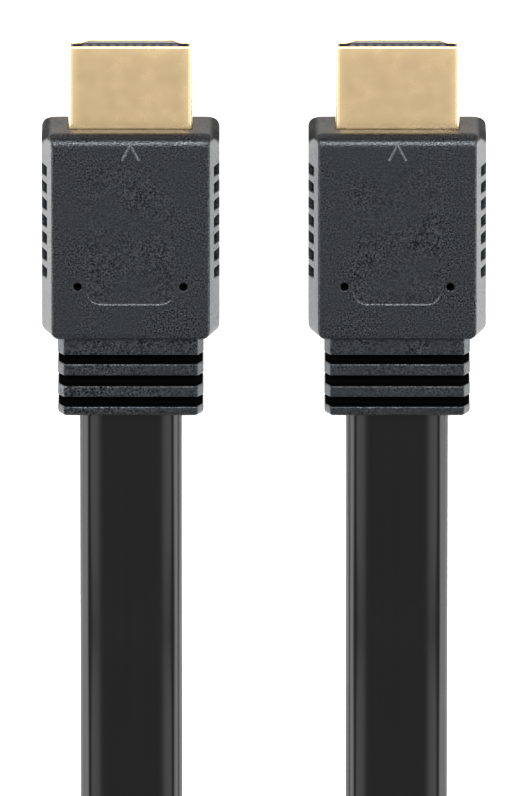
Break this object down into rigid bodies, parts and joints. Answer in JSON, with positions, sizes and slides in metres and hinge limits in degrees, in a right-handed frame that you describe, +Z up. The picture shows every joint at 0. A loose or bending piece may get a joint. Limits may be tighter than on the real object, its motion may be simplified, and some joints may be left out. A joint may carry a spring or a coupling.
{
  "type": "hdmi cable",
  "caption": "Flat black audio and video cable with a gold-plated plug in a ribbed, overmoulded housing on each end, its spare length wound in a round coil.",
  "frame": {"origin": "on the ground, midway between the two plugs and midway along them", "axes": "+Y towards the plugs' tips, +Z up out of their wide upper faces, +X from the left plug to the right one"},
  "size_m": [0.1066, 0.2687, 0.0232],
  "materials": {
    "shell_gold": "smooth gold plating on a formed metal shell, satin",
    "contact_gold": "bright gold plating on stamped contact strips",
    "insert_black": "black moulded insulating plastic",
    "housing_pvc": "black moulded PVC with a fine spark-eroded grain",
    "cable_jacket": "smooth extruded black PVC, satin"
  },
  "bodies": {
    "root": {"shell_a": "shell_gold", "insert_a": "insert_black", "housing_a": "housing_pvc", "cable_a": "cable_jacket", "shell_b": "shell_gold", "insert_b": "insert_black", "housing_b": "housing_pvc", "cable_b": "cable_jacket", "cable_coil": "cable_jacket", "contact_a_upper_1": "contact_gold", "contact_a_upper_2": "contact_gold", "contact_a_upper_3": "contact_gold", "contact_a_upper_4": "contact_gold", "contact_a_upper_5": "contact_gold", "contact_a_upper_6": "contact_gold", "contact_a_upper_7": "contact_gold", "contact_a_upper_8": "contact_gold", "contact_a_upper_9": "contact_gold", "contact_a_upper_10": "contact_gold", "contact_a_lower_1": "contact_gold", "contact_a_lower_2": "contact_gold", "contact_a_lower_3": "contact_gold", "contact_a_lower_4": "contact_gold", "contact_a_lower_5": "contact_gold", "contact_a_lower_6": "contact_gold", "contact_a_lower_7": "contact_gold", "contact_a_lower_8": "contact_gold", "contact_a_lower_9": "contact_gold", "contact_b_upper_1": "contact_gold", "contact_b_upper_2": "contact_gold", "contact_b_upper_3": "contact_gold", "contact_b_upper_4": "contact_gold", "contact_b_upper_5": "contact_gold", "contact_b_upper_6": "contact_gold", "contact_b_upper_7": "contact_gold", "contact_b_upper_8": "contact_gold", "contact_b_upper_9": "contact_gold", "contact_b_upper_10": "contact_gold", "contact_b_lower_1": "contact_gold", "contact_b_lower_2": "contact_gold", "contact_b_lower_3": "contact_gold", "contact_b_lower_4": "contact_gold", "contact_b_lower_5": "contact_gold", "contact_b_lower_6": "contact_gold", "contact_b_lower_7": "contact_gold", "contact_b_lower_8": "contact_gold", "contact_b_lower_9": "contact_gold"}
  },
  "joints": []
}
